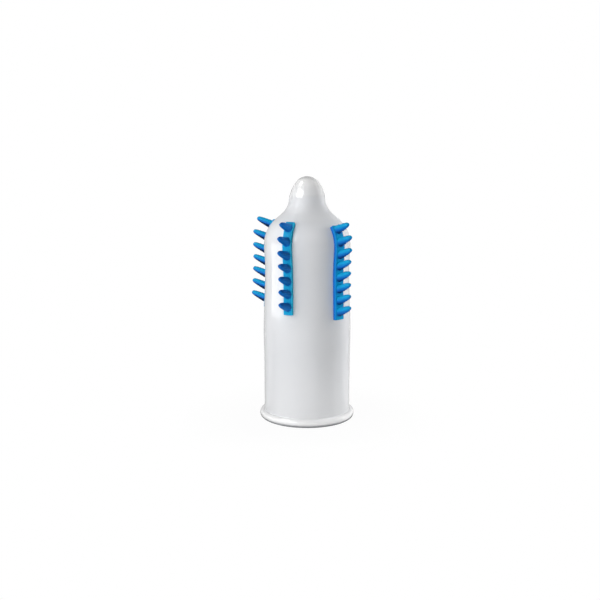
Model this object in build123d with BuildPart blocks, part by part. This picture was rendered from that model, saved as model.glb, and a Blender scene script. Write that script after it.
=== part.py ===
from build123d import *
import os
from math import cos, radians, sin
from typing import NamedTuple

# A thin closed-end sheath, open mouth down on Z = 0, with a rolled bead round the mouth,
# and four soft strips of tapered spikes bonded along its sides. Millimetres, +Z up.
# Angles round the sheath are measured from -Y towards +X.

os.makedirs("parts", exist_ok=True)

# Film of the sheath: its meridian is given on the outside surface
film_thickness = 0.1
mouth_radius = 17.05
mouth_length = 24.0        # plain cylinder above the open end
belly_swell = 0.2          # the body is a little wider here than at the mouth
belly_rise = 10.0          # from the plain cylinder up to the belly
waist_draw = 0.5           # and a little narrower here
waist_rise = 26.5          # from the belly up to the waist
crown_draw = 0.12          # the last full width, just under the shoulder
crown_rise = 9.0           # from the waist up to the crown
shoulder_radius = 12.75
shoulder_turn = 49.5       # degrees that the shoulder turns inwards
slope_length = 3.3
neck_radius = 8.2
neck_lean = 5.5            # degrees that the neck still leans inwards where the teat starts
teat_side_radius = 13.3
teat_side_turn = 33.0      # degrees from the neck to the start of the dome

# Rolled bead round the mouth
bead_radius = 1.65
bead_stand_off = 0.17      # from the film's outside to the middle of the roll

# Moulded strips: a narrow pattern with wide-set spikes, and a wide one with close-set spikes
narrow_width = 3.5
narrow_length = 35.1       # along the film
narrow_head_margin = 2.5   # from the last spike to the upper end of the strip
narrow_pitch = 4.92        # from spike to spike, along the film
wide_width = 4.2
wide_length = 35.7
wide_head_margin = 1.6
wide_pitch = 4.43
front_reach = 9.7          # how far a strip runs past the crown, along the film
left_reach = 8.9
wide_reach = 8.0
strip_thickness = 1.5
strip_corner_radius = 0.7
strip_edge_radius = 0.35
strip_sink = 1.0           # how far the blank reaches into the film before it is hollowed to fit

# Tapered spikes on the strips
spike_length = 6.6         # from the face of the strip to the tip
spike_root_radius = 1.6
spike_tip_radius = 0.87
spike_flare = 8.0          # degrees off the spike's axis where it leaves the strip
spike_taper = 11.0         # degrees off the spike's axis where its round tip starts
spike_sink = 1.0           # how far the root reaches into the strip

on_face_gap = 0.01         # an edge nearer than this to a line lies on it


class StripPattern(NamedTuple):
    """Size of a strip, and the row of spikes along it."""

    width: float
    length: float
    head_margin: float
    spike_pitch: float
    spike_count: int


class StripPlace(NamedTuple):
    """Where one strip lies on the sheath, and which way its spikes point."""

    name: str
    pattern: StripPattern
    reach: float           # past the crown
    angle: float           # round the sheath
    lean: float            # of the whole strip, sideways
    spike_tilt: float      # upwards, off the level
    spike_heading: float   # sideways, off the strip's own direction


narrow = StripPattern(narrow_width, narrow_length, narrow_head_margin, narrow_pitch, spike_count=7)
wide = StripPattern(wide_width, wide_length, wide_head_margin, wide_pitch, spike_count=8)
strip_places = [
    StripPlace("front_spike_strip", narrow, front_reach, angle=-25.1, lean=1.2, spike_tilt=16.5,
               spike_heading=-2.3),
    StripPlace("right_spike_strip", wide, wide_reach, angle=43.0, lean=-0.8, spike_tilt=21.5,
               spike_heading=-4.5),
    StripPlace("left_spike_strip", narrow, left_reach, angle=-119.0, lean=3.0, spike_tilt=23.0,
               spike_heading=17.0),
    StripPlace("rear_spike_strip", wide, wide_reach, angle=165.0, lean=0.0, spike_tilt=21.5,
               spike_heading=0.0),
]

# Worked out from the sizes above
bore_radius = mouth_radius - film_thickness
belly_height = mouth_length + belly_rise
waist_height = belly_height + waist_rise
crown_height = waist_height + crown_rise


def meridian(inset):
    """Outline of the film, radius across and height up, moved inwards by inset all along."""
    with BuildLine() as outline:
        mouth = Line((mouth_radius - inset, bead_radius), (mouth_radius - inset, mouth_length))
        body = Spline(
            mouth @ 1,
            (mouth_radius + belly_swell - inset, belly_height),
            (mouth_radius - waist_draw - inset, waist_height),
            (mouth_radius - crown_draw - inset, crown_height),
            tangents=((0, 1), (0, 1)),
        )
        shoulder = JernArc(body @ 1, (0, 1), shoulder_radius - inset, shoulder_turn)
        slope = PolarLine(shoulder @ 1, slope_length, direction=shoulder % 1)
        neck = JernArc(slope @ 1, slope % 1, neck_radius + inset, neck_lean - shoulder_turn)
        teat = JernArc(neck @ 1, neck % 1, teat_side_radius - inset, teat_side_turn)
        dome_lean = neck_lean + teat_side_turn
        dome_radius = (teat @ 1).X / cos(radians(dome_lean))
        JernArc(teat @ 1, teat % 1, dome_radius, 90 - dome_lean)
    return outline.wire()


outside = meridian(0)
inside = meridian(film_thickness)
sheath_height = (outside @ 1).Y

# The space inside the film's outside surface, from the mouth up to the tip
with BuildPart() as core:
    with BuildSketch(Plane.XZ):
        with BuildLine():
            add(outside)
            Polyline(outside @ 1, (0, 0), (mouth_radius, 0), outside @ 0)
        make_face()
    revolve(axis=Axis.Z)

# Sheath: the film with its rolled bead, flush with the bore inside
with BuildPart() as sheath:
    with BuildSketch(Plane.XZ):
        with BuildLine():
            add(outside)
            add(inside)
            Line(outside @ 0, inside @ 0)
            Line(outside @ 1, inside @ 1)
        make_face()
        with Locations((mouth_radius + bead_stand_off, bead_radius)):
            Circle(bead_radius)
        Rectangle(bore_radius, 2 * bead_radius, align=(Align.MIN, Align.MIN), mode=Mode.SUBTRACT)
    revolve(axis=Axis.Z)
sheath.part.label = "sheath"
export_step(sheath.part, "parts/sheath.step")

# One spike, standing on the face of its strip with its root below it
tip_arc_radius = spike_tip_radius / cos(radians(spike_taper))
tip_arc_height = spike_length - tip_arc_radius * (1 - sin(radians(spike_taper)))
with BuildPart() as spike:
    with BuildSketch(Plane.XZ):
        with BuildLine():
            root = Polyline((0, 0), (0, -spike_sink), (spike_root_radius, -spike_sink),
                            (spike_root_radius, 0))
            side = Spline(
                root @ 1,
                (spike_tip_radius, tip_arc_height),
                tangents=(
                    (-sin(radians(spike_flare)), cos(radians(spike_flare))),
                    (-sin(radians(spike_taper)), cos(radians(spike_taper))),
                ),
            )
            tip = JernArc(side @ 1, side % 1, tip_arc_radius, 90 - spike_taper)
            Line(tip @ 1, root @ 0)
        make_face()
    revolve(axis=Axis.Z)


def film_frame(distance):
    """Point on the film at a distance along it from the mouth, and the way straight out there."""
    foot = outside.position_at(distance, position_mode=PositionMode.LENGTH)
    along = outside.tangent_at(distance, position_mode=PositionMode.LENGTH)
    return foot, Vector(along.Y, -along.X)


def spike_plane(place, distance):
    """Plane on the face of a strip, at a distance along the film, facing the way its spikes point."""
    foot, out = film_frame(distance)
    face = foot + out * strip_thickness
    tilt = radians(place.spike_tilt)
    heading = radians(place.spike_heading)
    direction = (cos(tilt) * cos(heading), cos(tilt) * sin(heading), sin(tilt))
    return Plane(origin=(face.X, 0, face.Y), z_dir=direction)


# Strips: each is bent to the film's meridian, given its spikes and hollowed to seat on the film
blank_face = meridian(-strip_thickness)
blank_back = meridian(strip_sink)
crown_distance = outside.edges()[0].length + outside.edges()[1].length


def borders_face(edge, width):
    """Whether an edge of a blank lies round its outer face, and isn't a seam right across it."""
    middle = edge @ 0.5
    gap = blank_face.distance_to(Vector(middle.X, middle.Z))
    seam = abs(middle.Y) < on_face_gap and edge.length > width - strip_corner_radius
    return gap < on_face_gap and not seam


for place in strip_places:
    pattern = place.pattern
    strip_end = crown_distance + place.reach
    strip_start = strip_end - pattern.length
    last_spike = strip_end - pattern.head_margin
    low, low_out = film_frame(strip_start)
    high, high_out = film_frame(strip_end)
    middle, _ = film_frame(strip_end - pattern.length / 2)
    clear = 2 * (strip_thickness + strip_sink)

    with BuildPart() as blank:
        with BuildSketch(Plane.XZ):
            with BuildLine():
                add(blank_face)
                add(blank_back)
                Line(blank_face @ 0, blank_back @ 0)
                Line(blank_face @ 1, blank_back @ 1)
            make_face()
            with BuildLine():
                Polyline(low - low_out * clear, low + low_out * clear, high + high_out * clear,
                         high - high_out * clear, close=True)
            make_face(mode=Mode.INTERSECT)
        extrude(amount=pattern.width / 2, both=True)
        flat_faces = blank.faces().filter_by(GeomType.PLANE).sort_by(Axis.Z)
        end_faces = ShapeList([flat_faces[0], flat_faces[-1]])
        fillet(end_faces.edges().filter_by(Axis.Y, reverse=True), strip_corner_radius)
        rim = [edge for edge in blank.edges() if borders_face(edge, pattern.width)]
        fillet(rim, strip_edge_radius)
        for step in range(pattern.spike_count):
            with Locations(spike_plane(place, last_spike - step * pattern.spike_pitch)):
                add(spike.part)

    with BuildPart() as strip:
        add(blank.part.rotate(Axis((0, 0, middle.Y), (1, 0, 0)), place.lean))
        add(core.part, mode=Mode.SUBTRACT)

    seated = strip.part.rotate(Axis.Z, place.angle - 90)
    seated.label = place.name
    export_step(seated, f"parts/{place.name}.step")

print("height", round(sheath_height, 2), "crown", round(crown_height, 2), "bore", round(bore_radius, 3))
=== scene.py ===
# %% [markdown]
# # A sheath with spiked strips
# The object is a thin white film tube. It stands on the rolled rim round its open mouth, and at the top
# it draws in over a shoulder to a small reservoir tip. Four soft blue strips of tapered spikes are bonded
# along its sides. The real thing is dipped and moulded, so it has no seams, screws or joints: everything
# depends on clean curves, soft edges and the way that a glossy white surface takes the light.
#
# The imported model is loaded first, as a fixed frame. Every new piece stands in for one of its nodes.

# %% The fixed frame
from math import asin, ceil, copysign, cos, degrees, pi, radians, sin, sqrt, tan
from typing import NamedTuple

import bmesh
import bpy
from mathutils import Matrix, Vector


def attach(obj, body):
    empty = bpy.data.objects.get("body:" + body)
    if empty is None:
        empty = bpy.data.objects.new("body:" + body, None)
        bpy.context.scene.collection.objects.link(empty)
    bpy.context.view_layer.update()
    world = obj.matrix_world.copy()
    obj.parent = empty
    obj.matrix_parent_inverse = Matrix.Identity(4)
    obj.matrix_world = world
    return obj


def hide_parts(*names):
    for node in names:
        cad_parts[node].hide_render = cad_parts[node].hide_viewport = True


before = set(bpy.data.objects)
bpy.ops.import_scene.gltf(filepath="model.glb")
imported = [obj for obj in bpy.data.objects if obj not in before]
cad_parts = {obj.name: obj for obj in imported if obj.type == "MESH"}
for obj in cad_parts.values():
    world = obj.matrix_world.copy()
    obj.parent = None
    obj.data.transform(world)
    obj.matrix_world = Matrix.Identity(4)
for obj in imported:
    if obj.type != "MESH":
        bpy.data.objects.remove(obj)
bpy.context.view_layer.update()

mm = 0.001

# %% [markdown]
# ## Sizes
# Scenes are in metres, so each size is given in millimetres and multiplied once. Turns and leans are in
# degrees. The film's outline is given on its outside surface: a straight mouth, a body that swells and
# draws in by a few tenths of a millimetre, and then a chain of arcs for the shoulder, the neck and the
# tip.

# %% Sizes of the film
film_thickness = 0.1 * mm
mouth_radius = 17.05 * mm
mouth_length = 24.0 * mm
belly_swell = 0.2 * mm
belly_height = 34.0 * mm
waist_draw = 0.5 * mm
waist_height = 60.5 * mm
crown_draw = 0.12 * mm
crown_height = 69.5 * mm
shoulder_radius = 12.75 * mm
shoulder_turn = 49.5
slope_length = 3.3 * mm
neck_radius = 8.2 * mm
neck_lean = 5.5
teat_side_radius = 13.3 * mm
teat_side_turn = 33.0
bead_radius = 1.65 * mm
bead_stand_off = 0.17 * mm
bore_radius = mouth_radius - film_thickness

# %% [markdown]
# ## Drawing an outline
# A round thing is easiest to make as half of its section, spun about its axis. The section could be a
# list of points, but a pen that runs straight or turns on an arc needs only lengths, radii and angles,
# and it leaves one vertex behind at each step. Extruding a vertex draws a line, and spinning a vertex
# about a centre draws an arc.

# %% A pen for outlines
arc_step = 4.0             # degrees from vertex to vertex
dome_step = 5.0
bead_step = 6.0


class Pen:
    """Draws an outline in the XZ plane as a chain of vertices.

    The heading is in degrees, from +X towards +Z.
    """

    def __init__(self, bm, x, z, heading):
        self.bm = bm
        self.heading = heading
        self.chain = [bm.verts.new((x, 0, z))]

    @property
    def place(self):
        """Where the pen is."""
        return self.chain[-1].co.copy()

    def line_to(self, x, z):
        """Draws a straight line to a place. The heading stays."""
        made = bmesh.ops.extrude_vert_indiv(self.bm, verts=[self.chain[-1]])
        made["verts"][0].co = (x, 0, z)
        self.chain.append(made["verts"][0])

    def straight(self, length):
        """Draws a straight line along the heading."""
        here = self.place
        along = radians(self.heading)
        self.line_to(here.x + length * cos(along), here.z + length * sin(along))

    def turn(self, radius, angle, step=arc_step):
        """Runs round an arc, to the left for a positive angle, in steps of at most step degrees."""
        left = Vector((-sin(radians(self.heading)), 0, cos(radians(self.heading))))
        centre = self.place + left * copysign(radius, angle)
        count = ceil(abs(angle) / step)
        start = len(self.bm.verts)
        made = bmesh.ops.spin(
            self.bm, geom=[self.chain[-1]], cent=centre, axis=(0, -1, 0), angle=radians(angle),
            steps=count,
        )
        self.bm.verts.ensure_lookup_table()
        self.chain.extend(self.bm.verts[start:])
        assert self.chain[-1] == made["geom_last"][0]
        self.heading += angle


# %% [markdown]
# ## The film's outline
# The body isn't a plain cylinder. It swells a little above the mouth, and draws in a little under the
# shoulder. A half wave between two heights starts and ends level, so half waves join with no corner.
# The same outline is drawn twice, the second time moved inwards by the film's thickness.

# %% The body's swell and draw
stations = [(mouth_length, 0.0), (belly_height, belly_swell), (waist_height, -waist_draw),
            (crown_height, -crown_draw)]


def swell_at(height):
    """How far the body stands out from a plain cylinder at a height."""
    for (low, low_swell), (high, high_swell) in zip(stations, stations[1:]):
        if low <= height <= high:
            share = 0.5 - 0.5 * cos(pi * (height - low) / (high - low))
            return low_swell + share * (high_swell - low_swell)
    return 0.0


# %% The outline from the mouth to the tip
body_steps = 40


def draw_film(bm, inset, start_height):
    """Draws the film's outline, moved inwards by inset. Returns the pen and the crown's place."""
    pen = Pen(bm, mouth_radius - inset, start_height, 90)
    for step in range(body_steps + 1):
        height = mouth_length + (crown_height - mouth_length) * step / body_steps
        pen.line_to(mouth_radius + swell_at(height) - inset, height)
    crown = len(pen.chain) - 1
    pen.turn(shoulder_radius - inset, shoulder_turn)
    pen.straight(slope_length)
    pen.turn(neck_radius + inset, neck_lean - shoulder_turn)
    pen.turn(teat_side_radius - inset, teat_side_turn)
    dome_lean = neck_lean + teat_side_turn
    pen.turn(pen.place.x / cos(radians(dome_lean)), 90 - dome_lean, dome_step)
    return pen, crown


# %% [markdown]
# ## Measuring along the film
# The strips are bonded along the film, over the shoulder, so each needs to know where the film is and
# which way is straight out at any distance along it. The outline's own vertices answer that.

# %% The film's surface, by distance from the mouth
ruler = bmesh.new()
film_pen, crown = draw_film(ruler, 0.0, bead_radius)
film_points = [vert.co.copy() for vert in film_pen.chain]
ruler.free()
film_distances = [0.0]
for a, b in zip(film_points, film_points[1:]):
    film_distances.append(film_distances[-1] + (b - a).length)
crown_distance = film_distances[crown]
film_outs = []
for index, point in enumerate(film_points):
    before = film_points[max(index - 1, 0)]
    after = film_points[min(index + 1, len(film_points) - 1)]
    along = (after - before).normalized()
    film_outs.append(Vector((along.z, 0, -along.x)))


def film_at(distance):
    """The film's place and the way straight out, at a distance along it from the mouth."""
    for index in range(1, len(film_points)):
        if distance <= film_distances[index]:
            break
    before, after = film_distances[index - 1], film_distances[index]
    share = (distance - before) / (after - before)
    foot = film_points[index - 1].lerp(film_points[index], share)
    out = film_outs[index - 1].lerp(film_outs[index], share).normalized()
    return foot, out


print("film height", round(film_points[-1].z / mm, 2), "mm")
print("length along it", round(film_distances[-1] / mm, 1), "mm")

# %% [markdown]
# ## Handing a piece over
# Each piece is made in a bmesh, becomes one object at the origin, is shaded smooth, hangs from the body
# that carries it, and hides the node that it stands for. Its finish is added later.

# %% A helper for finished pieces
def open_edges(bm):
    """How many edges don't join exactly two faces: none on a closed skin."""
    return sum(not edge.is_manifold for edge in bm.edges)


def finished(bm, name, node):
    """Turns a bmesh into an object that stands for a node."""
    mesh = bpy.data.meshes.new(name)
    bm.to_mesh(mesh)
    bm.free()
    mesh.shade_smooth()
    piece = bpy.data.objects.new(name, mesh)
    bpy.context.scene.collection.objects.link(piece)
    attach(piece, "root")
    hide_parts(node)
    return piece


# %% [markdown]
# ## The sheath
# The outside and the inside of the film are drawn up to the tip, and an arc round the bead joins them at
# the mouth, so the section is one closed loop and the spin gives a solid skin with a real thickness.
# The film meets the bead in a sharp crease, which a real roll of film doesn't have, so that ring of
# edges and the one at the bore are bevelled before the mesh is done.

# %% The section, spun
steps_around = 192
join_distance = 0.002 * mm
bead_centre_radius = mouth_radius + bead_stand_off
crease_angle = degrees(asin(bead_stand_off / bead_radius))
bore_angle = degrees(asin((bead_centre_radius - bore_radius) / bead_radius))
crease_height = bead_radius * (1 + cos(radians(crease_angle)))
bore_edge_height = bead_radius * (1 - cos(radians(bore_angle)))

sheath_bm = bmesh.new()
draw_film(sheath_bm, 0.0, crease_height)
draw_film(sheath_bm, film_thickness, bore_edge_height)
bead_pen = Pen(sheath_bm, mouth_radius, crease_height, crease_angle)
bead_pen.turn(bead_radius, crease_angle + bore_angle - 180, bead_step)
bmesh.ops.spin(
    sheath_bm, geom=sheath_bm.verts[:] + sheath_bm.edges[:], cent=(0, 0, 0), axis=(0, 0, 1),
    angle=2 * pi, steps=steps_around, use_merge=True,
)
bmesh.ops.remove_doubles(sheath_bm, verts=sheath_bm.verts[:], dist=join_distance)
bmesh.ops.recalc_face_normals(sheath_bm, faces=sheath_bm.faces[:])
print("sheath faces", len(sheath_bm.faces), "open edges", open_edges(sheath_bm))

# %% The creases of the bead
crease_softness = 0.22 * mm
bore_softness = 0.15 * mm
ring_tolerance = 0.01 * mm


def ring_edges(bm, radius, height):
    """The edges of the ring at a radius and a height."""
    def on_ring(vert):
        across = sqrt(vert.co.x ** 2 + vert.co.y ** 2)
        return abs(across - radius) < ring_tolerance and abs(vert.co.z - height) < ring_tolerance
    return [edge for edge in bm.edges if all(on_ring(vert) for vert in edge.verts)]


for radius, height, softness in (
    (mouth_radius, crease_height, crease_softness), (bore_radius, bore_edge_height, bore_softness),
):
    ring = ring_edges(sheath_bm, radius, height)
    print("ring of", len(ring), "edges softened")
    bmesh.ops.bevel(
        sheath_bm, geom=ring, offset=softness, offset_type="OFFSET", affect="EDGES", segments=4,
        profile=0.5, material=-1, clamp_overlap=True,
    )
sheath = finished(sheath_bm, "film_sheath", "sheath")

# %% [markdown]
# ## The strips
# A strip and its spikes are one soft moulding. It could be made of a bar with cones pushed into it, but
# then every root would show a hard line. Here the spikes are grown out of the bar's own faces, a few
# rings each, and a Subdivision Surface rounds the whole skin at once, so the roots flow into the bar as
# moulded rubber does.
#
# Each strip starts as a cube, cut where its spikes will stand, and is then bent to the film.

# %% Sizes of the strips
narrow_width = 3.5 * mm
narrow_length = 35.1 * mm
narrow_head_margin = 2.5 * mm
narrow_pitch = 4.92 * mm
wide_width = 4.2 * mm
wide_length = 35.7 * mm
wide_head_margin = 1.6 * mm
wide_pitch = 4.43 * mm
front_reach = 9.7 * mm
left_reach = 8.9 * mm
wide_reach = 8.0 * mm
strip_thickness = 1.5 * mm
strip_sink = 0.015 * mm
edge_softness = 0.28 * mm
patch_half_length = 1.6 * mm


class StripPattern(NamedTuple):
    """Size of a strip, and the row of spikes along it."""

    width: float
    length: float
    head_margin: float
    spike_pitch: float
    spike_count: int


class StripPaintedShade(NamedTuple):
    """Painted shade on a strip: plain at 0, deep at 1, navy beyond, and painted light below 0."""

    top: float             # on the tops of its spikes
    under: float           # on their undersides
    tip: float             # added towards their tips
    gap: float             # on the bar just below each spike
    wall: float            # on the bar's walls


class StripPlace(NamedTuple):
    """Where one strip lies on the sheath, and which way its spikes point. Angles are in degrees."""

    name: str
    pattern: StripPattern
    reach: float
    angle: float
    lean: float
    spike_tilt: float
    spike_heading: float
    shade: StripPaintedShade


narrow = StripPattern(narrow_width, narrow_length, narrow_head_margin, narrow_pitch, spike_count=7)
wide = StripPattern(wide_width, wide_length, wide_head_margin, wide_pitch, spike_count=8)
front_shade = StripPaintedShade(top=0.7, under=0.75, tip=0.45, gap=0.15, wall=-0.9)
left_shade = StripPaintedShade(top=-0.2, under=2.2, tip=0.0, gap=0.65, wall=0.3)
wide_shade = StripPaintedShade(top=-0.1, under=1.2, tip=0.0, gap=0.45, wall=0.6)
strip_places = [
    StripPlace("front_spike_strip", narrow, front_reach, -25.1, lean=1.2, spike_tilt=16.5,
               spike_heading=-2.3, shade=front_shade),
    StripPlace("right_spike_strip", wide, wide_reach, 43.0, lean=-0.8, spike_tilt=21.5,
               spike_heading=-4.5, shade=wide_shade),
    StripPlace("left_spike_strip", narrow, left_reach, -119.0, lean=3.0, spike_tilt=23.0,
               spike_heading=17.0, shade=left_shade),
    StripPlace("rear_spike_strip", wide, wide_reach, 165.0, lean=0.0, spike_tilt=21.5,
               spike_heading=0.0, shade=wide_shade),
]

# %% [markdown]
# The bar lies flat at first: X runs across it, Y along it and Z out of its face. A cut right through it
# at each station makes the rows and columns that the spikes need. The cuts close to the edges keep
# those edges tight when the skin is rounded.

# %% A flat bar with its cuts
cut_tolerance = 0.001 * mm


def cut(bm, place, normal):
    """One loop cut right through everything."""
    bmesh.ops.bisect_plane(
        bm, geom=bm.verts[:] + bm.edges[:] + bm.faces[:], plane_co=place, plane_no=normal,
        dist=cut_tolerance,
    )


def flat_bar(width, length, spike_rows):
    """A bar on the XY plane, cut across at each spike and along its edges."""
    bm = bmesh.new()
    bmesh.ops.create_cube(bm, size=1)
    bmesh.ops.scale(bm, verts=bm.verts[:], vec=(width, length, strip_thickness))
    bmesh.ops.translate(bm, verts=bm.verts[:], vec=(0, length / 2, strip_thickness / 2))
    for across in (edge_softness - width / 2, 0, width / 2 - edge_softness):
        cut(bm, (across, 0, 0), (1, 0, 0))
    rows = [edge_softness, length - edge_softness]
    for row in spike_rows:
        rows += [row - patch_half_length, row, row + patch_half_length]
    for along in rows:
        cut(bm, (0, along, 0), (0, 1, 0))
    cut(bm, (0, 0, strip_thickness - edge_softness), (0, 0, 1))
    cut(bm, (0, 0, edge_softness), (0, 0, 1))
    return bm


# %% [markdown]
# The strips carry painted shade: their colour is darker where a spike hides its own underside, on the bar
# just below each spike and on the walls where the bar meets the film. A negative value paints light, a
# paler blue, on the front bar's walls. Painting that by hand would have to be done again after every
# change of size, so each vertex keeps its own shade value, worked out from its place, and the material
# reads it as an attribute.

# %% Painted shade on the bar
open_shade = 0.1
# painted shade at the walls' feet and on the face just below each spike
foot_shade = 0.45          # added to a wall where it meets the film
gap_start = 0.5 * mm       # the bar is shaded from here below a spike's middle
gap_end = 2.0 * mm         # down to here


def paint_shade_on_bar(bm, place, spike_rows):
    """Paints shade on the bar's walls and below each spike, or painted light on a wall set below 0."""
    shade = bm.verts.layers.float.new("shade")
    for vert in bm.verts:
        across, along, up = vert.co
        on_wall = abs(across) > (place.pattern.width - edge_softness) / 2
        below_spike = any(gap_start < row - along < gap_end for row in spike_rows)
        if on_wall:
            vert[shade] = place.shade.wall + foot_shade * (1 - up / strip_thickness)
        else:
            vert[shade] = place.shade.gap if below_spike else open_shade


# %% [markdown]
# Bending moves each vertex from the flat bar to the film. The distance along the bar becomes a distance
# along the film, and the height above the bar becomes a height straight out from it. The underside also
# curls round the sheath, while the face stays flat across, as it comes out of the mould.

# %% Bending the bar to the film
def bend(bm, place, start):
    """Bends a flat bar to the film. start is the distance from the mouth to its lower end."""
    for vert in bm.verts:
        across, along, up = vert.co
        foot, out = film_at(start + along)
        curl = (foot.x - sqrt(foot.x ** 2 - across ** 2)) * (1 - up / strip_thickness)
        across -= (along - place.pattern.length / 2) * tan(radians(place.lean))
        lifted = foot + out * (up - strip_sink)
        vert.co = (lifted.x - curl, across, lifted.z)


# %% [markdown]
# A spike grows from the four faces round its foot. Extruding them again and again leaves rings of eight
# vertices behind, each drawn to a circle of its own radius. A skin that is rounded draws in from its
# rings by about a tenth, so the rings are made that much larger than the spike. The first rings still
# lie flat on the bar and the next ones turn to face along the spike, so it leans without a kink.

# %% Growing the spikes
ring_allowance = 1.0 / (2 / 3 + cos(pi / 4) / 3)
spike_rings = [            # height along the spike and radius there, in millimetres
    (0.0, 1.66), (0.3, 1.60), (1.0, 1.50), (2.4, 1.36), (3.8, 1.20), (4.9, 1.04),
    (5.72, 0.86), (6.19, 0.64), (6.45, 0.34),
]
turned_height = 1.0        # from here on the rings face along the spike
# The spikes' undersides get painted shade, strongest at the root.
root_depth = 1.2           # how strong the underside's shade is at the root
depth_loss = 0.1           # and how much of it each millimetre towards the tip takes away
middle_tolerance = 0.02 * mm


def shape_ring(bm, verts, old_centre, centre, across, upward, radius, top_shade, under_shade):
    """Draws a patch to a circle, with its middle vertex in the centre, and paints shade on its underside.
    """
    shade = bm.verts.layers.float["shade"]
    mean_shade = (top_shade + under_shade) / 2
    for vert in verts:
        offset = vert.co - old_centre
        a, b = offset.dot(across), offset.dot(upward)
        size = sqrt(a * a + b * b)
        if size < middle_tolerance:
            vert.co = centre
            vert[shade] = mean_shade
        else:
            vert.co = centre + (across * a + upward * b) * (radius / size)
            vert[shade] = mean_shade + (top_shade - mean_shade) * b / size


def grow_spike(bm, faces, foot, out, direction, place):
    """Grows one spike from a patch of faces. foot is the middle of the patch and out its normal."""
    spike_height = spike_rings[-1][0]
    centre = foot
    for height, radius in spike_rings:
        made = bmesh.ops.extrude_face_region(bm, geom=faces)
        bmesh.ops.delete(bm, geom=faces, context="FACES_ONLY")
        faces = [item for item in made["geom"] if isinstance(item, bmesh.types.BMFace)]
        verts = [item for item in made["geom"] if isinstance(item, bmesh.types.BMVert)]
        turned = out.lerp(direction, min(1.0, height / turned_height)).normalized()
        across = Vector((0, 1, 0)).cross(turned).cross(turned).normalized() * -1
        upward = turned.cross(across).normalized()
        new_centre = foot + direction * height * mm
        # painted shade: weaker on the underside towards the tip, and added on top and below towards the
        # tip
        depth = root_depth - depth_loss * height
        tip_shade = place.shade.tip * (height / spike_height) ** 2
        shape_ring(
            bm, verts, centre, new_centre, across, upward, radius * mm * ring_allowance,
            place.shade.top + tip_shade, place.shade.under * depth + tip_shade,
        )
        centre = new_centre


# %% [markdown]
# Now the steps come together. The faces for the spikes are picked while the bar is still flat, where
# they are easy to find, and the spikes grow once it is bent. Last, the strip is turned to its place
# round the sheath.

# %% Making the four strips
facing_out = 0.9           # least part of a face's normal that points out of the bar


def spike_patch(bm, width, row):
    """The four faces of the flat bar's face round a spike's foot."""
    patch = []
    for face in bm.faces:
        middle = face.calc_center_median()
        across_patch = abs(middle.x) < width / 2 - edge_softness
        along_patch = abs(middle.y - row) < patch_half_length
        if face.normal.z > facing_out and across_patch and along_patch:
            patch.append(face)
    return patch


def make_strip(place):
    """Makes one strip with its spikes, in its place on the film."""
    pattern = place.pattern
    start = crown_distance + place.reach - pattern.length
    top_row = pattern.length - pattern.head_margin
    rows = [top_row - n * pattern.spike_pitch for n in range(pattern.spike_count)]
    bm = flat_bar(pattern.width, pattern.length, rows)
    paint_shade_on_bar(bm, place, rows)
    bm.normal_update()
    patches = [spike_patch(bm, pattern.width, row) for row in rows]
    bend(bm, place, start)
    tilt, heading = radians(place.spike_tilt), radians(place.spike_heading)
    direction = Vector((cos(tilt) * cos(heading), cos(tilt) * sin(heading), sin(tilt)))
    direction.rotate(Matrix.Rotation(radians(place.lean), 3, "X"))
    for row, faces in zip(rows, patches):
        foot, out = film_at(start + row)
        face_place = foot + out * (strip_thickness - strip_sink)
        face_place.y = -(row - pattern.length / 2) * tan(radians(place.lean))
        grow_spike(bm, faces, face_place, out, direction, place)
    round_the_sheath = Matrix.Rotation(radians(place.angle - 90), 3, "Z")
    bmesh.ops.rotate(bm, verts=bm.verts[:], cent=(0, 0, 0), matrix=round_the_sheath)
    bmesh.ops.recalc_face_normals(bm, faces=bm.faces[:])
    print(place.name, "faces", len(bm.faces), "open edges", open_edges(bm))
    strip = finished(bm, "moulded_" + place.name, place.name)
    rounding = strip.modifiers.new("rounding", "SUBSURF")
    rounding.levels = rounding.render_levels = 2
    return strip


strips = [make_strip(place) for place in strip_places]

# %% [markdown]
# ## Finishes
# Both materials are soft rubbers, so they share one effect: a slow mottle, where the wall is a little
# thicker or the pigment a little denser, and a fine skin that breaks up the reflections. It is a node
# group with its scales as inputs, and each material uses it at its own strength.

# %% A shared rubber skin
def make_skin_group():
    """Two noises with their own scales: a slow mottle and a fine skin."""
    group = bpy.data.node_groups.new("rubber_skin", "ShaderNodeTree")
    group.interface.new_socket("Vector", in_out="INPUT", socket_type="NodeSocketVector")
    nodes, links = group.nodes, group.links
    for name in ("Mottle", "Skin"):
        group.interface.new_socket(name + " Scale", in_out="INPUT", socket_type="NodeSocketFloat")
        group.interface.new_socket(name, in_out="OUTPUT", socket_type="NodeSocketFloat")
    inputs = nodes.new("NodeGroupInput")
    outputs = nodes.new("NodeGroupOutput")
    for name, detail, roughness in (("Mottle", 3.0, 0.55), ("Skin", 4.0, 0.6)):
        noise = nodes.new("ShaderNodeTexNoise")
        noise.inputs["Detail"].default_value = detail
        noise.inputs["Roughness"].default_value = roughness
        links.new(inputs.outputs["Vector"], noise.inputs["Vector"])
        links.new(inputs.outputs[name + " Scale"], noise.inputs["Scale"])
        links.new(noise.outputs["Fac"], outputs.inputs[name])
    return group


skin_group = make_skin_group()
print("skin group of", len(skin_group.nodes), "nodes")

# %% [markdown]
# Each rubber is a Principled material. The mottle moves its colour between a pale and a deep tone that
# lie close together, and the skin moves its roughness and its bump.

# %% A soft rubber
bump_strength = 0.35
deep_below = 0.3           # where the mottle is lower than this, the colour is the deep tone
pale_above = 0.7


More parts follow.
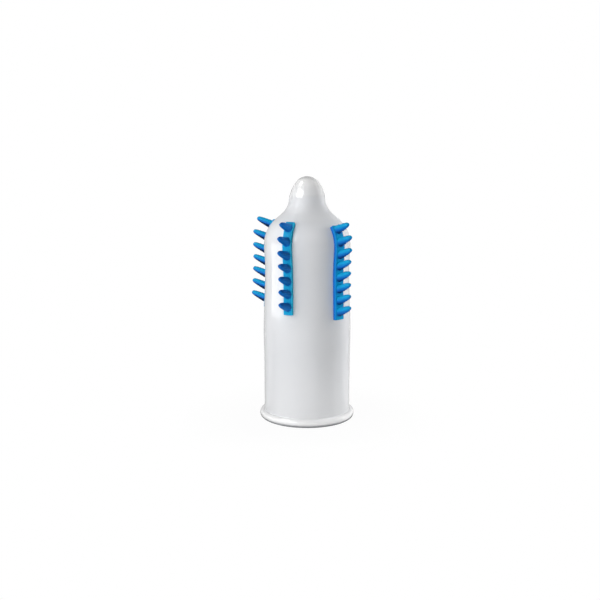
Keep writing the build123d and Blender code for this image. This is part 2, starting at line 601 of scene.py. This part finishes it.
def rubber(name, pale, deep, mottle_scale, skin_scale, bump_distance, rough_low, rough_high):
    """A Principled material whose colour, roughness and bump follow the rubber skin."""
    material = bpy.data.materials.new(name)
    material.use_nodes = True
    nodes, links = material.node_tree.nodes, material.node_tree.links
    shader = nodes["Principled BSDF"]
    coordinates = nodes.new("ShaderNodeTexCoord")
    skin = nodes.new("ShaderNodeGroup")
    skin.node_tree = skin_group
    skin.inputs["Mottle Scale"].default_value = mottle_scale
    skin.inputs["Skin Scale"].default_value = skin_scale
    links.new(coordinates.outputs["Object"], skin.inputs["Vector"])
    colour = nodes.new("ShaderNodeValToRGB")
    low, high = colour.color_ramp.elements
    low.position, low.color = deep_below, (*deep, 1)
    high.position, high.color = pale_above, (*pale, 1)
    links.new(skin.outputs["Mottle"], colour.inputs["Fac"])
    links.new(colour.outputs["Color"], shader.inputs["Base Color"])
    roughness = nodes.new("ShaderNodeMapRange")
    roughness.inputs["To Min"].default_value = rough_low
    roughness.inputs["To Max"].default_value = rough_high
    links.new(skin.outputs["Skin"], roughness.inputs["Value"])
    links.new(roughness.outputs["Result"], shader.inputs["Roughness"])
    bump = nodes.new("ShaderNodeBump")
    bump.inputs["Strength"].default_value = bump_strength
    bump.inputs["Distance"].default_value = bump_distance
    links.new(skin.outputs["Skin"], bump.inputs["Height"])
    links.new(bump.outputs["Normal"], shader.inputs["Normal"])
    return material, shader, colour.outputs["Color"]


# %% [markdown]
# Neither rubber has one even colour: the film changes with its height, where painted light and painted
# shade are laid on it, and the strips with the painted shade that their vertices keep. An image could be
# painted for each, but that needs the skins unwrapped. Here a tint says between which two values the
# colour turns into another one, and the tints of a material are laid over each other in order. The same
# smooth ramps also set the coat, the floor and the sweep.

# %% Ramps and tints
class Ramp(NamedTuple):
    """A value that runs smoothly from low to high while its input goes from start to end."""

    start: float
    end: float
    low: float
    high: float


class Tint(NamedTuple):
    """A colour that comes in smoothly, up to a share of it, while a value goes from start to end."""

    start: float
    end: float
    share: float
    colour: tuple


def smooth(nodes, links, value, ramp):
    """The ramp's output for a value."""
    node = nodes.new("ShaderNodeMapRange")
    node.interpolation_type = "SMOOTHSTEP"
    node.inputs["From Min"].default_value = ramp.start
    node.inputs["From Max"].default_value = ramp.end
    node.inputs["To Min"].default_value = ramp.low
    node.inputs["To Max"].default_value = ramp.high
    links.new(value, node.inputs["Value"])
    return node.outputs["Result"]


def lay_tints(nodes, links, value, colour, tints):
    """The colour with the tints laid over it in order, by a value."""
    for tint in tints:
        mix = nodes.new("ShaderNodeMix")
        mix.data_type = "RGBA"
        mix.inputs["B"].default_value = (*tint.colour, 1)
        share = smooth(nodes, links, value, Ramp(tint.start, tint.end, 0.0, tint.share))
        links.new(share, mix.inputs["Factor"])
        links.new(colour, mix.inputs["A"])
        colour = mix.outputs["Result"]
    return colour


def combine(nodes, links, operation, first, second):
    """Two values, multiplied or compared by a Math node."""
    node = nodes.new("ShaderNodeMath")
    node.operation = operation
    links.new(first, node.inputs[0])
    links.new(second, node.inputs[1])
    return node.outputs["Value"]


# %% [markdown]
# ## White film
# Dipped film is opaque white with a soft, wet-looking gloss. The colour of its body is a light grey and
# not pure white, so that the lamps have room to shade it. The bead is whiter, partly as thick rolled film
# and partly as painted light. Painted light also whitens the film a little towards the bead, and the tip
# and its top. Painted shade greys the neck and the crevice under the bead. A coat gives the clear
# highlights on the body and on the tip, but not on the neck between them, which is duller.

# %% The film's material
thick_and_painted_light_white = (0.97, 0.97, 0.97)
neck_painted_shade_grey = (0.72, 0.73, 0.75)
under_bead_painted_shade_grey = (0.44, 0.45, 0.47)
# The whites are painted light (the bead partly thick film); the greys are painted shade.
film_tints = [             # by the height above the mouth
    Tint(3.6 * mm, 3.0 * mm, 1.0, thick_and_painted_light_white),            # the bead
    Tint(30 * mm, 6 * mm, 0.22, thick_and_painted_light_white),              # the film above it
    # painted shade greys the neck
    Tint(79 * mm, 85 * mm, 1.0, neck_painted_shade_grey),           # the neck
    Tint(87.2 * mm, 89.5 * mm, 0.5, thick_and_painted_light_white),          # the tip
    Tint(90 * mm, 94 * mm, 1.0, thick_and_painted_light_white),              # its top
    # painted shade greys the crevice under the bead
    Tint(1.7 * mm, 0.7 * mm, 1.0, under_bead_painted_shade_grey),           # under the bead
]
body_coat = Ramp(70 * mm, 76 * mm, 0.85, 0.0)
tip_coat = Ramp(87.2 * mm, 88.8 * mm, 0.0, 1.0)


def make_film():
    """The film's material, with painted light and shade tints and its coat set by the height."""
    material, shader, colour = rubber(
        "white_latex_film", pale=(0.79, 0.80, 0.82), deep=(0.76, 0.772, 0.795), mottle_scale=45.0,
        skin_scale=900.0, bump_distance=0.01 * mm, rough_low=0.2, rough_high=0.3,
    )
    shader.inputs["Specular IOR Level"].default_value = 0.15
    shader.inputs["Coat IOR"].default_value = 1.9
    shader.inputs["Coat Roughness"].default_value = 0.06
    nodes, links = material.node_tree.nodes, material.node_tree.links
    coordinates = nodes.new("ShaderNodeTexCoord")
    split = nodes.new("ShaderNodeSeparateXYZ")
    links.new(coordinates.outputs["Object"], split.inputs["Vector"])
    height = split.outputs["Z"]
    tinted = lay_tints(nodes, links, height, colour, film_tints)
    links.new(tinted, shader.inputs["Base Color"])
    on_body = smooth(nodes, links, height, body_coat)
    on_tip = smooth(nodes, links, height, tip_coat)
    coat = combine(nodes, links, "MAXIMUM", on_body, on_tip)
    links.new(coat, shader.inputs["Coat Weight"])
    return material


sheath.data.materials.append(make_film())
print("film material of", len(sheath.active_material.node_tree.nodes), "nodes")

# %% [markdown]
# ## Blue rubber
# The strips are a saturated blue. Painted shade deepens it and then turns it navy: on the spikes'
# undersides, on the bar just below each spike and on the walls where the bar meets the film. The spikes
# at the front get painted shade in deep blue all over, darker towards their tips, and painted light makes
# the front bar's walls a paler blue. The others are lit on top and painted dark below. The strips are
# softer in their gloss than the film.

# %% The strips' material
painted_light_blue = (0.03, 0.60, 0.90)
painted_shade_blue = (0.005, 0.145, 0.56)
painted_shade_navy = (0.002, 0.016, 0.07)
# Painted light and shade, by the shade value: paler below 0, deeper up to 1 and navy beyond.
strip_tints = [            # by the shade
    Tint(-0.2, -0.8, 1.0, painted_light_blue),
    Tint(0.1, 1.0, 1.0, painted_shade_blue),
    Tint(0.8, 1.5, 1.0, painted_shade_navy),
]


def make_strip_rubber():
    """The strips' material, with painted light and shade tints set by the shade that the vertices keep.
    """
    material, shader, colour = rubber(
        "blue_soft_rubber", pale=(0.004, 0.350, 0.640), deep=(0.004, 0.320, 0.600), mottle_scale=220.0,
        skin_scale=3000.0, bump_distance=0.01 * mm, rough_low=0.45, rough_high=0.6,
    )
    shader.inputs["Specular IOR Level"].default_value = 0.12
    nodes, links = material.node_tree.nodes, material.node_tree.links
    shade = nodes.new("ShaderNodeAttribute")
    shade.attribute_name = "shade"
    tinted = lay_tints(nodes, links, shade.outputs["Fac"], colour, strip_tints)
    links.new(tinted, shader.inputs["Base Color"])
    return material


strip_rubber = make_strip_rubber()
for strip in strips:
    strip.data.materials.append(strip_rubber)
print("strip material of", len(strip_rubber.node_tree.nodes), "nodes")

# %% [markdown]
# ## The stage
# The object stands on white paper that sweeps up behind it. The floor and the world share one rule, so
# that no horizon shows between them: behind the object they are white in its reflections, and in front,
# where the darker studio is, they aren't. The film's edges mirror that line as a clean bright border.

# %% A shared rule for the white sweep
sweep_gloss = 0.5
sweep_behind = Ramp(0.1, 0.3, 0.0, 1.0)        # by how far back a level direction points
sweep_low = Ramp(0.6, 0.3, 0.0, 1.0)           # by how far up a direction points


def make_sweep_group():
    """How much a direction from the object points at the sweep, low down behind it: from 0 to 1."""
    group = bpy.data.node_groups.new("white_sweep", "ShaderNodeTree")
    group.interface.new_socket("Direction", in_out="INPUT", socket_type="NodeSocketVector")
    group.interface.new_socket("Share", in_out="OUTPUT", socket_type="NodeSocketFloat")
    nodes, links = group.nodes, group.links
    inputs = nodes.new("NodeGroupInput")
    outputs = nodes.new("NodeGroupOutput")
    level = nodes.new("ShaderNodeVectorMath")
    level.operation = "MULTIPLY"
    level.inputs[1].default_value = (1, 1, 0)
    links.new(inputs.outputs["Direction"], level.inputs[0])
    shares = []
    for vector, axis, ramp in (
        (level.outputs["Vector"], "Y", sweep_behind), (inputs.outputs["Direction"], "Z", sweep_low),
    ):
        unit = nodes.new("ShaderNodeVectorMath")
        unit.operation = "NORMALIZE"
        split = nodes.new("ShaderNodeSeparateXYZ")
        links.new(vector, unit.inputs[0])
        links.new(unit.outputs["Vector"], split.inputs["Vector"])
        shares.append(smooth(nodes, links, split.outputs[axis], ramp))
    both = combine(nodes, links, "MULTIPLY", shares[0], shares[1])
    links.new(both, outputs.inputs["Share"])
    return group


sweep_group = make_sweep_group()
print("sweep group of", len(sweep_group.nodes), "nodes")


def sweep_strength(nodes, links, direction):
    """How strongly the sweep shines in a mirror from a direction."""
    sweep = nodes.new("ShaderNodeGroup")
    sweep.node_tree = sweep_group
    strength = nodes.new("ShaderNodeMath")
    strength.operation = "MULTIPLY"
    strength.inputs[1].default_value = sweep_gloss
    links.new(direction, sweep.inputs["Direction"])
    links.new(sweep.outputs["Share"], strength.inputs[0])
    return strength.outputs["Value"]


# %% [markdown]
# For the camera the floor glows white by itself. Only near the object does a part of its own shading
# show, and with it the object's soft shadow. As a reflector the paper is darker further out, so that
# the undersides of the spikes fall into shade, all but those in front, where a white card lies on it.

# %% Floor
floor_radius = 6.0
near_paper = Ramp(40 * mm, 110 * mm, 0.6, 0.2)             # white by the distance from the object
front_card = Ramp(-15 * mm, -45 * mm, 0.0, 0.9)            # white by how far in front a place is
near_glow = Ramp(17 * mm, 60 * mm, 0.965, 1.0)             # the glow's share by the distance


def mix_shaders(nodes, links, share, first, second):
    """One shader, mixed towards another one by a share."""
    mix = nodes.new("ShaderNodeMixShader")
    links.new(share, mix.inputs["Fac"])
    links.new(first, mix.inputs[1])
    links.new(second, mix.inputs[2])
    return mix.outputs["Shader"]


def make_floor_material():
    """White paper that glows to the camera, and shows as the sweep in a mirror."""
    material = bpy.data.materials.new("white_floor")
    material.use_nodes = True
    nodes, links = material.node_tree.nodes, material.node_tree.links
    shader = nodes["Principled BSDF"]
    shader.inputs["Roughness"].default_value = 0.9
    coordinates = nodes.new("ShaderNodeTexCoord")
    place = coordinates.outputs["Object"]
    distance = nodes.new("ShaderNodeVectorMath")
    distance.operation = "LENGTH"
    split = nodes.new("ShaderNodeSeparateXYZ")
    links.new(place, distance.inputs[0])
    links.new(place, split.inputs["Vector"])
    away = distance.outputs["Value"]
    paper = smooth(nodes, links, away, near_paper)
    card = smooth(nodes, links, split.outputs["Y"], front_card)
    links.new(combine(nodes, links, "MAXIMUM", paper, card), shader.inputs["Base Color"])
    light_path = nodes.new("ShaderNodeLightPath")
    glow_share = smooth(nodes, links, away, near_glow)
    seen = combine(nodes, links, "MULTIPLY", light_path.outputs["Is Camera Ray"], glow_share)
    glow = nodes.new("ShaderNodeEmission").outputs["Emission"]
    surface = mix_shaders(nodes, links, seen, shader.outputs["BSDF"], glow)
    mirrored = nodes.new("ShaderNodeEmission")
    links.new(sweep_strength(nodes, links, place), mirrored.inputs["Strength"])
    by_mirror = light_path.outputs["Is Glossy Ray"]
    surface = mix_shaders(nodes, links, by_mirror, surface, mirrored.outputs["Emission"])
    links.new(surface, nodes["Material Output"].inputs["Surface"])
    return material


def make_floor():
    """A disc under the object, wide enough to have no edge in view."""
    bm = bmesh.new()
    bmesh.ops.create_circle(bm, cap_ends=True, radius=floor_radius, segments=64)
    mesh = bpy.data.meshes.new("floor")
    bm.to_mesh(mesh)
    bm.free()
    floor = bpy.data.objects.new("floor", mesh)
    bpy.context.scene.collection.objects.link(floor)
    floor.data.materials.append(make_floor_material())
    return floor


floor = make_floor()
print("floor nodes", len(floor.active_material.node_tree.nodes))

# %% World
world_fill = 0.05


def make_world():
    """White to the camera, the sweep in a mirror, and a weak even fill as a lamp."""
    world = bpy.data.worlds.new("studio")
    bpy.context.scene.world = world
    world.use_nodes = True
    nodes, links = world.node_tree.nodes, world.node_tree.links
    light_path = nodes.new("ShaderNodeLightPath")
    coordinates = nodes.new("ShaderNodeTexCoord")
    by_mirror = nodes.new("ShaderNodeMix")
    by_mirror.inputs["A"].default_value = world_fill
    links.new(light_path.outputs["Is Glossy Ray"], by_mirror.inputs["Factor"])
    links.new(sweep_strength(nodes, links, coordinates.outputs["Generated"]), by_mirror.inputs["B"])
    to_camera = light_path.outputs["Is Camera Ray"]
    strength = combine(nodes, links, "MAXIMUM", by_mirror.outputs["Result"], to_camera)
    background = nodes["Background"]
    background.inputs["Color"].default_value = (1, 1, 1, 1)
    links.new(strength, background.inputs["Strength"])


make_world()
print("world fill", world_fill)

# %% [markdown]
# ## Lamps
# Each soft box is placed by its direction from the object. The broad key stands high at the front left,
# and one behind at the right lifts that edge, so that a grey band is left between them. The fills keep
# the light level over the body, the top one from high at the left, and the low one from close to the rim
# at the front right. All of these would clutter the gloss, so they don't show in it. What does show is
# the low box at the left, as the film's long highlight, and two windows, which give no other light, as
# the bright spots on the tip.

# %% Soft boxes
class SoftBox(NamedTuple):
    """A rectangular lamp, in metres and degrees. The azimuth runs from the camera's side towards +X."""

    name: str
    azimuth: float
    elevation: float
    distance: float
    aim_height: float
    width: float
    height: float
    mirrored: bool         # whether it shows in the gloss
    lights: bool           # whether it lights the surface itself
    radiance: float


soft_boxes = [
    SoftBox("key", -58.0, 38.0, 0.50, 0.085, 0.28, 0.30, False, True, 2.3),
    SoftBox("window", -54.0, 29.0, 0.50, 0.085, 0.42, 0.25, True, False, 3.4),
    SoftBox("long_highlight", -88.0, 0.0, 0.23, 0.046, 0.16, 0.07, True, True, 1.6),
    SoftBox("small_window", -88.0, 55.0, 0.50, 0.085, 0.15, 0.12, True, False, 7.0),
    SoftBox("right_edge", 113.0, 10.0, 0.40, 0.05, 0.20, 0.30, False, True, 10.8),
    SoftBox("front_fill", -15.0, 15.0, 0.60, 0.05, 0.35, 0.35, False, True, 2.6),
    SoftBox("back_fill", 172.0, 15.0, 0.60, 0.05, 0.35, 0.35, False, True, 2.1),
    SoftBox("left_fill", -50.0, 10.0, 0.60, 0.05, 0.35, 0.35, False, True, 3.5),
    SoftBox("low_fill", 30.0, 0.0, 0.045, 0.006, 0.03, 0.01, False, True, 1.1),
    SoftBox("top_fill", -75.0, 65.0, 0.50, 0.085, 0.30, 0.30, False, True, 1.4),
]


def place_soft_box(box):
    """A lamp's power is its radiance times its area times pi."""
    data = bpy.data.lights.new(box.name, "AREA")
    data.shape = "RECTANGLE"
    data.size = box.width
    data.size_y = box.height
    data.energy = box.radiance * box.width * box.height * pi
    azimuth, elevation = radians(box.azimuth), radians(box.elevation)
    towards = Vector((sin(azimuth) * cos(elevation), -cos(azimuth) * cos(elevation), sin(elevation)))
    lamp = bpy.data.objects.new(box.name, data)
    lamp.visible_glossy = box.mirrored
    lamp.visible_diffuse = box.lights
    lamp.location = Vector((0, 0, box.aim_height)) + towards * box.distance
    lamp.rotation_euler = (-towards).to_track_quat("-Z", "Y").to_euler()
    bpy.context.scene.collection.objects.link(lamp)


for box in soft_boxes:
    place_soft_box(box)
print("soft boxes", len(soft_boxes))

# %% [markdown]
# ## Camera
# The camera looks slightly down on the front, from close enough to see the mouth's rim as a curve.

# %% Camera
camera_data = bpy.data.cameras.new("camera")
camera_data.sensor_width = 36.0
camera_data.lens = 55.2
camera = bpy.data.objects.new("camera", camera_data)
camera_elevation = radians(9.79)
camera_distance = 364.6 * mm
aim = Vector((-2.81 * mm, 0, 47.18 * mm))
back = Vector((0, -cos(camera_elevation), sin(camera_elevation)))
camera.location = aim + back * camera_distance
camera.rotation_euler = (-back).to_track_quat("-Z", "Y").to_euler()
bpy.context.scene.collection.objects.link(camera)
bpy.context.scene.camera = camera
bpy.context.scene.view_settings.view_transform = "Standard"
print("camera", round(camera_distance / mm, 1), "mm away")
